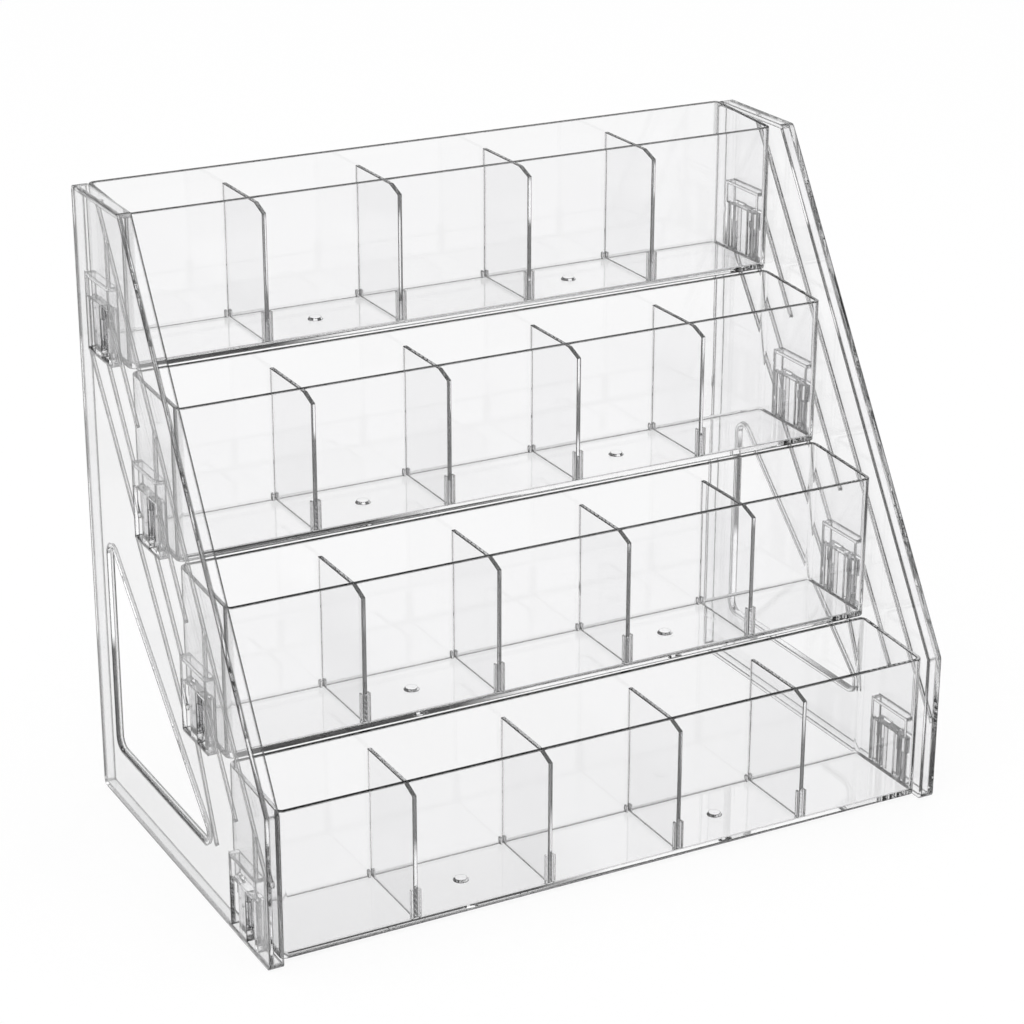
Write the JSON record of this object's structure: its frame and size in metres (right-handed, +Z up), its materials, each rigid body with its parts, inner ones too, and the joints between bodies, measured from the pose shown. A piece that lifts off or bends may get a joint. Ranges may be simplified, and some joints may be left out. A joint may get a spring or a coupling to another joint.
{
  "type": "stepped countertop organiser",
  "caption": "Free-standing clear plastic organiser: stepped trays with lift-out dividers hang by hooks between side panels with triangular windows.",
  "frame": {"origin": "middle of the footprint, on the surface that the organiser stands on", "axes": "+X along the trays, towards the right-hand panel seen from the front; +Y to the back, where the tallest tray is; +Z up"},
  "size_m": [0.33, 0.19, 0.285],
  "materials": {
    "panel_plastic": "clear, polished",
    "tray_plastic": "clear, polished",
    "divider_plastic": "clear, polished"
  },
  "bodies": {
    "side_panels": {"left_side_panel": "panel_plastic", "right_side_panel": "panel_plastic"},
    "bottom_tray": {"bottom_tray": "tray_plastic"},
    "lower_tray": {"lower_tray": "tray_plastic"},
    "upper_tray": {"upper_tray": "tray_plastic"},
    "top_tray": {"top_tray": "tray_plastic"},
    "bottom_divider_1": {"bottom_divider_1": "divider_plastic"},
    "bottom_divider_2": {"bottom_divider_2": "divider_plastic"},
    "bottom_divider_3": {"bottom_divider_3": "divider_plastic"},
    "bottom_divider_4": {"bottom_divider_4": "divider_plastic"},
    "lower_divider_1": {"lower_divider_1": "divider_plastic"},
    "lower_divider_2": {"lower_divider_2": "divider_plastic"},
    "lower_divider_3": {"lower_divider_3": "divider_plastic"},
    "lower_divider_4": {"lower_divider_4": "divider_plastic"},
    "upper_divider_1": {"upper_divider_1": "divider_plastic"},
    "upper_divider_2": {"upper_divider_2": "divider_plastic"},
    "upper_divider_3": {"upper_divider_3": "divider_plastic"},
    "upper_divider_4": {"upper_divider_4": "divider_plastic"},
    "top_divider_1": {"top_divider_1": "divider_plastic"},
    "top_divider_2": {"top_divider_2": "divider_plastic"},
    "top_divider_3": {"top_divider_3": "divider_plastic"},
    "top_divider_4": {"top_divider_4": "divider_plastic"}
  },
  "joints": [
    {"name": "bottom_tray_lift", "type": "slide", "parent": "side_panels", "child": "bottom_tray", "axis": [0, 0, 1], "range_m": [0, 0.0087]},
    {"name": "lower_tray_lift", "type": "slide", "parent": "side_panels", "child": "lower_tray", "axis": [0, 0, 1], "range_m": [0, 0.0087]},
    {"name": "upper_tray_lift", "type": "slide", "parent": "side_panels", "child": "upper_tray", "axis": [0, 0, 1], "range_m": [0, 0.0087]},
    {"name": "top_tray_lift", "type": "slide", "parent": "side_panels", "child": "top_tray", "axis": [0, 0, 1], "range_m": [0, 0.0087]},
    {"name": "bottom_divider_1_lift", "type": "slide", "parent": "bottom_tray", "child": "bottom_divider_1", "axis": [0, 0, 1], "range_m": [0, 0.072]},
    {"name": "bottom_divider_2_lift", "type": "slide", "parent": "bottom_tray", "child": "bottom_divider_2", "axis": [0, 0, 1], "range_m": [0, 0.072]},
    {"name": "bottom_divider_3_lift", "type": "slide", "parent": "bottom_tray", "child": "bottom_divider_3", "axis": [0, 0, 1], "range_m": [0, 0.072]},
    {"name": "bottom_divider_4_lift", "type": "slide", "parent": "bottom_tray", "child": "bottom_divider_4", "axis": [0, 0, 1], "range_m": [0, 0.072]},
    {"name": "lower_divider_1_lift", "type": "slide", "parent": "lower_tray", "child": "lower_divider_1", "axis": [0, 0, 1], "range_m": [0, 0.072]},
    {"name": "lower_divider_2_lift", "type": "slide", "parent": "lower_tray", "child": "lower_divider_2", "axis": [0, 0, 1], "range_m": [0, 0.072]},
    {"name": "lower_divider_3_lift", "type": "slide", "parent": "lower_tray", "child": "lower_divider_3", "axis": [0, 0, 1], "range_m": [0, 0.072]},
    {"name": "lower_divider_4_lift", "type": "slide", "parent": "lower_tray", "child": "lower_divider_4", "axis": [0, 0, 1], "range_m": [0, 0.072]},
    {"name": "upper_divider_1_lift", "type": "slide", "parent": "upper_tray", "child": "upper_divider_1", "axis": [0, 0, 1], "range_m": [0, 0.072]},
    {"name": "upper_divider_2_lift", "type": "slide", "parent": "upper_tray", "child": "upper_divider_2", "axis": [0, 0, 1], "range_m": [0, 0.072]},
    {"name": "upper_divider_3_lift", "type": "slide", "parent": "upper_tray", "child": "upper_divider_3", "axis": [0, 0, 1], "range_m": [0, 0.072]},
    {"name": "upper_divider_4_lift", "type": "slide", "parent": "upper_tray", "child": "upper_divider_4", "axis": [0, 0, 1], "range_m": [0, 0.072]},
    {"name": "top_divider_1_lift", "type": "slide", "parent": "top_tray", "child": "top_divider_1", "axis": [0, 0, 1], "range_m": [0, 0.072]},
    {"name": "top_divider_2_lift", "type": "slide", "parent": "top_tray", "child": "top_divider_2", "axis": [0, 0, 1], "range_m": [0, 0.072]},
    {"name": "top_divider_3_lift", "type": "slide", "parent": "top_tray", "child": "top_divider_3", "axis": [0, 0, 1], "range_m": [0, 0.072]},
    {"name": "top_divider_4_lift", "type": "slide", "parent": "top_tray", "child": "top_divider_4", "axis": [0, 0, 1], "range_m": [0, 0.072]}
  ],
  "couplings": [
    {"joint": "lower_tray_lift", "follows": "bottom_tray_lift", "ratio": 1},
    {"joint": "upper_tray_lift", "follows": "bottom_tray_lift", "ratio": 1},
    {"joint": "top_tray_lift", "follows": "bottom_tray_lift", "ratio": 1}
  ]
}
